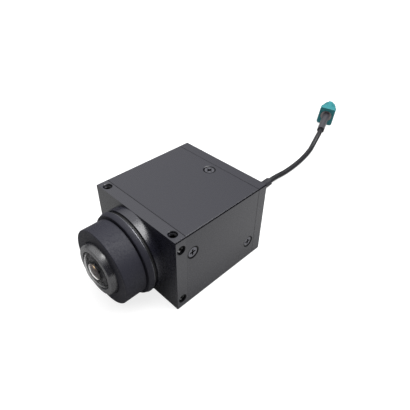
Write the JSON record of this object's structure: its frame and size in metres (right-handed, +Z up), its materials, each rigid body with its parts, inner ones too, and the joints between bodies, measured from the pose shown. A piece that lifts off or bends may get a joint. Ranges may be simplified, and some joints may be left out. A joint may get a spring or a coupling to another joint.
{
  "type": "global shutter camera",
  "caption": "Compact black metal camera module with a wide lens on a focusing thread, a lock ring, top and side mounting holes and a coaxial lead with a keyed plug.",
  "frame": {"origin": "centre of the case's base face", "axes": "+Z up out of the top face, -Y out of the lens, +Y out of the rear face where the lead leaves, +X to the right seen from behind the camera"},
  "size_m": [0.0473, 0.1837, 0.03],
  "materials": {
    "case_black": "satin black anodised",
    "lens_black": "satin black anodised, finely turned",
    "black_screw": "black oxide",
    "nickel_brass": "nickel plated",
    "gold_brass": "gold plated",
    "lens_glass": "clear, anti-reflection coated",
    "filter_glass": "coated infrared cut filter",
    "seal_rubber": "matt black",
    "shrink_sleeve": "matt black heat-shrink",
    "cable_jacket": "satin black jacket",
    "turquoise_plastic": "satin turquoise moulding",
    "white_plastic": "natural white fluoropolymer",
    "circuit_board": "solder mask",
    "black_plastic": "moulded package",
    "sensor_ceramic": "ceramic package",
    "grey_pad": "soft silicone"
  },
  "bodies": {
    "case": {"board_screw_1": "black_screw", "board_screw_2": "black_screw", "board_screw_3": "black_screw", "board_screw_4": "black_screw", "cable_grommet": "seal_rubber", "cable_sleeve": "shrink_sleeve", "case_screw_base": "black_screw", "case_screw_left_front": "black_screw", "case_screw_left_rear": "black_screw", "case_screw_right_front": "black_screw", "case_screw_right_rear": "black_screw", "case_screw_top": "black_screw", "centre_contact": "gold_brass", "coax_cable": "cable_jacket", "coax_plug": "gold_brass", "coax_socket": "gold_brass", "connector_boot": "shrink_sleeve", "connector_housing": "turquoise_plastic", "contact_insulator": "white_plastic", "crimp_ferrule": "nickel_brass", "front_block": "case_black", "front_gasket": "seal_rubber", "header_plug": "black_plastic", "header_socket": "black_plastic", "heat_pad": "grey_pad", "housing": "case_black", "image_sensor": "sensor_ceramic", "inner_lead": "cable_jacket", "lens_seal": "seal_rubber", "link_board": "circuit_board", "outer_contact": "gold_brass", "power_inductor": "black_plastic", "rear_gasket": "seal_rubber", "rear_plate": "case_black", "sensor_board": "circuit_board", "sensor_window": "lens_glass", "serialiser_chip": "black_plastic", "standoff_1": "nickel_brass", "standoff_2": "nickel_brass", "standoff_3": "nickel_brass", "standoff_4": "nickel_brass"},
    "optics_cell": {"inner_barrel": "lens_black", "cell_retainer": "lens_black", "bezel_ring": "lens_black", "front_glass": "lens_glass", "element_spacer": "lens_black", "second_element": "lens_glass", "middle_element": "lens_glass", "aperture_plate": "lens_black", "middle_spacer": "lens_black", "rear_element": "lens_glass", "rear_spacer": "lens_black", "infrared_filter": "filter_glass"},
    "focus_barrel": {"focus_barrel": "lens_black"},
    "lock_ring": {"lock_ring": "lens_black"}
  },
  "joints": [
    {"name": "lens_advance", "type": "slide", "parent": "case", "child": "optics_cell", "axis": [0, -1, 0], "range_m": [-0.00025, 0.00025]},
    {"name": "lens_turn", "type": "hinge", "parent": "optics_cell", "child": "focus_barrel", "pos_m": [0, -0.02075, 0.0152], "axis": [0, -1, 0], "range_deg": [-180, 180]},
    {"name": "lock_ring_turn", "type": "hinge", "parent": "case", "child": "lock_ring", "pos_m": [0, -0.02575, 0.0152], "axis": [0, -1, 0], "range_deg": [0, 60]}
  ],
  "couplings": [
    {"joint": "lens_turn", "follows": "lens_advance", "rad_per_m": 12566}
  ]
}
